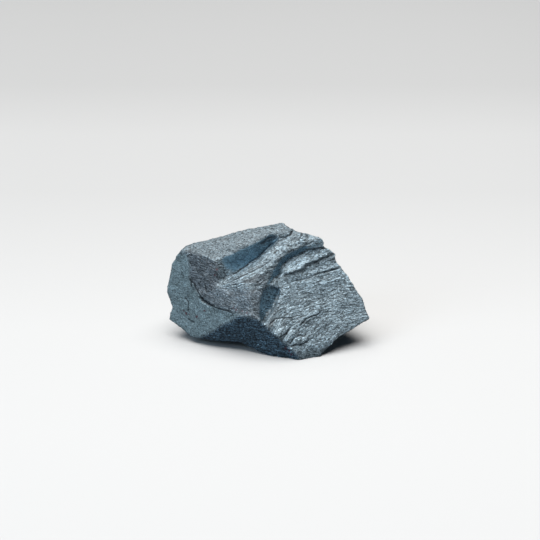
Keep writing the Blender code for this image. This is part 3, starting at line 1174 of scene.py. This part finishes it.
@dataclass
class Grains:
    """The loose-looking crystals that stand out of the skin all over.

    The density is how many there are on a square millimetre, the thickness a share of a
    crystal's size, and the tilt how far one leans at most, in radians. None stands on the
    lowest part, from the clear height down.
    """

    density: float = 1.5
    smallest: float = 0.2
    largest: float = 0.5
    thickness: float = 0.3
    tilt: float = 0.55
    seed: int = 7
    clear: float = 0.4
    sides: int = 5
    top_radius: float = 0.32
    foot_radius: float = 0.5
    sunk: float = 0.12
    object: Object | None = field(default=None, init=False)

    def build(self, skin: Object, material: Material) -> None:
        """Scatters the crystals over the skin.

        Args:
            skin: The surface that they stand on.
            material: Their material.
        """
        sizes = {
            "Density": self.density / MM / MM,
            "Smallest": self.smallest * MM,
            "Largest": self.largest * MM,
            "Thickness": self.thickness,
            "Tilt": self.tilt,
            "Seed": self.seed,
        }
        group = bpy.data.node_groups.new("scatter_grains", "GeometryNodeTree")
        group.interface.new_socket("Geometry", in_out="INPUT", socket_type="NodeSocketGeometry")
        names = {}
        for label, value in sizes.items():
            kind = "NodeSocketInt" if isinstance(value, int) else "NodeSocketFloat"
            socket = group.interface.new_socket(label, in_out="INPUT", socket_type=kind)
            names[label] = socket.identifier
        group.interface.new_socket("Geometry", in_out="OUTPUT", socket_type="NodeSocketGeometry")
        self.scatter(Tree(group), material)

        holder = add_object("grain_holder", skin.data.copy())
        modifier = holder.modifiers.new("grains", "NODES")
        modifier.node_group = group
        for label, value in sizes.items():
            modifier[names[label]] = value
        self.object = add_object("hematite_grains", bake_down(holder, "hematite_grains"))

    def scatter(self, tree: Tree, material: Material) -> None:
        """Fills the node tree that scatters them.

        Args:
            tree: The tree, which has its inputs and its output.
            material: Their material.
        """
        given = tree.add("NodeGroupInput").outputs
        made = tree.add("NodeGroupOutput")
        place = tree.add("GeometryNodeInputPosition").outputs[0]
        height = tree.add("ShaderNodeSeparateXYZ", place).outputs["Z"]
        above = tree.stretch(height, self.clear * MM, 3.0 * self.clear * MM, 0.0, 1.0)
        polish = tree.add("GeometryNodeInputNamedAttribute", "polish").outputs[0]
        kept = tree.minus(1.0, tree.times(polish, 0.75))
        density = tree.times(given["Density"], tree.times(above, kept))
        spread = tree.add("GeometryNodeDistributePointsOnFaces")
        tree.fill(spread, {"Mesh": given["Geometry"], "Density": density, "Seed": given["Seed"]})

        crystal = tree.add("GeometryNodeMeshCone", fill_type="NGON")
        radii = {"Radius Top": self.top_radius, "Radius Bottom": self.foot_radius}
        tree.fill(crystal, {"Vertices": self.sides, "Depth": given["Thickness"], **radii})
        lowered = tree.add("GeometryNodeTransform", crystal.outputs["Mesh"])
        tree.fill(lowered, {"Translation": (0.0, 0.0, -self.sunk)})

        tilt, back = given["Tilt"], tree.times(given["Tilt"], -1.0)
        least = tree.add("ShaderNodeCombineXYZ", back, back, 0.0).outputs[0]
        most = tree.add("ShaderNodeCombineXYZ", tilt, tilt, math.tau).outputs[0]
        lean = tree.add("FunctionNodeRandomValue", data_type="FLOAT_VECTOR")
        tree.fill(lean, {"Min": least, "Max": most, "Seed": given["Seed"]})
        lean = tree.add("FunctionNodeEulerToRotation", lean.outputs["Value"]).outputs[0]
        turned = tree.add(
            "FunctionNodeRotateRotation", spread.outputs["Rotation"], lean, rotation_space="LOCAL"
        )
        size = tree.add("FunctionNodeRandomValue")
        least, greatest = [socket for socket in size.inputs if socket.enabled][:2]
        tree.feed(given["Smallest"], least)
        tree.feed(given["Largest"], greatest)

        placed = tree.add("GeometryNodeInstanceOnPoints", spread.outputs["Points"])
        tree.fill(placed, {"Instance": lowered.outputs[0], "Rotation": turned.outputs[0]})
        tree.feed(size.outputs[RANDOM_NUMBER], placed.inputs["Scale"])
        real = tree.add("GeometryNodeRealizeInstances", placed.outputs[0])
        dressed = tree.add("GeometryNodeSetMaterial", real.outputs[0])
        tree.feed(material, dressed.inputs["Material"])
        tree.feed(dressed.outputs[0], made.inputs[0])

    def dress(self) -> None:
        """Gives the crystals, which have their material, their place in the frame."""
        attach(self.object, "root")


@dataclass(frozen=True)
class Softbox:
    """A square soft light that faces the lump, with its place and its side in metres."""

    name: str
    place: Triple
    side: float
    watts: float
    colour: Colour

    def hang(self) -> None:
        """Hangs the light in its place."""
        lamp = bpy.data.lights.new(self.name, "AREA")
        lamp.size = self.side
        lamp.energy = self.watts
        lamp.color = self.colour
        box = add_object(self.name, lamp)
        box.location = self.place
        box.rotation_euler = (-Vector(self.place)).to_track_quat("-Z", "Y").to_euler()


@dataclass
class Studio:
    """The pale floor, the wide soft light above, the cool fill in front and the camera.

    The floor's painted light is given from front to back, and changes a little from side to side.
    """

    view: FrontView
    lights: tuple[Softbox, ...] = (
        Softbox("key", (-0.12, 0.08, 0.95), 1.25, 21.3, (1.0, 0.98, 0.95)),
        Softbox("fill", (-1.15, -0.85, 0.8), 0.9, 7.0, (0.65, 0.84, 1.0)),
    )
    sky_colour: Colour = (0.45, 0.7, 1.0)
    sky_strength: float = 0.04
    floor_painted_light: tuple[tuple[float, float], ...] = (
        (-155.0, 0.605), (-70.0, 0.6), (5.0, 0.587), (73.0, 0.543), (132.0, 0.508), (199.0, 0.503),
        (266.0, 0.456),
    )
    floor_cast: Colour = (1.0, 1.006, 1.014)
    floor_reach: float = 4000.0
    half_width: float = 85.0
    side_painted_light: float = 0.025
    bounce: float = 0.16
    bounce_cast: Colour = (1.0, 1.02, 1.04)
    frame_width: float = 170.1
    distance: float = 700.0
    sensor: float = 36.0
    aim: Point = (0.66, 20.88)

    def build(self) -> None:
        """Makes everything round the lump."""
        self.floor()
        for light in self.lights:
            light.hang()
        world = bpy.data.worlds.new("sky")
        world.use_nodes = True
        sky = {"Color": (*self.sky_colour, 1.0), "Strength": self.sky_strength}
        Tree(world.node_tree).fill(world.node_tree.nodes["Background"], sky)
        bpy.context.scene.world = world
        self.camera()
        bpy.context.scene.view_settings.view_transform = "Standard"

    def floor(self) -> None:
        """A pale floor with painted light: it dims toward the back and a little toward the left.

        What it sends up to the lump is less than what the camera sees of it, as its light is
        lost outside the picture.
        """
        bm = bmesh.new()
        bmesh.ops.create_grid(bm, x_segments=1, y_segments=1, size=self.floor_reach * MM)
        mesh = bpy.data.meshes.new("floor")
        bm.to_mesh(mesh)
        bm.free()
        floor = add_object("floor", mesh)
        material = bpy.data.materials.new("floor")
        material.use_nodes = True
        tree, shader = Tree(material.node_tree), material.node_tree.nodes["Principled BSDF"]
        place = tree.add("ShaderNodeSeparateXYZ", tree.object_points()).outputs
        # Painted light: the floor darkens toward the back, and a little toward the left.
        first, last = self.floor_painted_light[0][0], self.floor_painted_light[-1][0]
        back = tree.stretch(place["Y"], first * MM, last * MM, 0.0, 1.0)
        painted_falloff = tree.add("ShaderNodeValToRGB", back)
        stops = painted_falloff.color_ramp.elements
        for y, _ in self.floor_painted_light[1:-1]:
            stops.new((y - first) / (last - first))
        for stop, (_, shade) in zip(stops, self.floor_painted_light):
            stop.color = (*(shade * cast for cast in self.floor_cast), 1.0)
        reach, change = self.half_width * MM, self.side_painted_light
        evened = tree.grey(tree.stretch(place["X"], -reach, reach, 1.0 - change, 1.0 + change))
        shown = tree.mix(1.0, painted_falloff.outputs["Color"], evened, "MULTIPLY")
        seen = tree.add("ShaderNodeLightPath").outputs["Is Camera Ray"]
        unseen = (*(self.bounce * cast for cast in self.bounce_cast), 1.0)
        colour = tree.mix(seen, unseen, shown)
        tree.fill(shader, {"Base Color": colour, "Roughness": 0.9, "Specular IOR Level": 0.1})
        mesh.materials.append(material)

    def camera(self) -> None:
        """A long lens at the photograph's angle."""
        lens = bpy.data.cameras.new("camera")
        lens.sensor_width = self.sensor
        lens.lens = self.sensor * self.distance / self.frame_width
        lens.clip_start = 0.01
        camera = add_object("camera", lens)
        aim = self.view.place(*self.aim)
        camera.location = (aim + self.view.toward * self.distance) * MM
        camera.rotation_euler = (-self.view.toward).to_track_quat("-Z", "Y").to_euler()
        bpy.context.scene.camera = camera


def report(piece: Object) -> None:
    """Logs a finished piece with its triangles."""
    piece.data.calc_loop_triangles()
    log.info("%s: %d triangles", piece.name, len(piece.data.loop_triangles))


def main() -> None:
    """Builds the lump and its studio."""
    logging.basicConfig(level=logging.INFO, format="%(name)s: %(message)s")
    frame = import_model()
    view = FrontView()
    speckle, relief_light = speckle_group(), relief_light_group()

    skin = Skin(view)
    skin.build(frame["nodes"]["hematite"])
    skin.dress(OreFinish("hematite_ore").material(speckle, relief_light))
    report(skin.object)

    grains = Grains()
    finish = OreFinish("hematite_crystals", brightness=1.5, metallic=0.6, roughness=0.35, bump=0.2)
    grains.build(skin.object, finish.material(speckle, relief_light))
    grains.dress()
    report(grains.object)

    Studio(view).build()


if __name__ == "__main__":
    main()
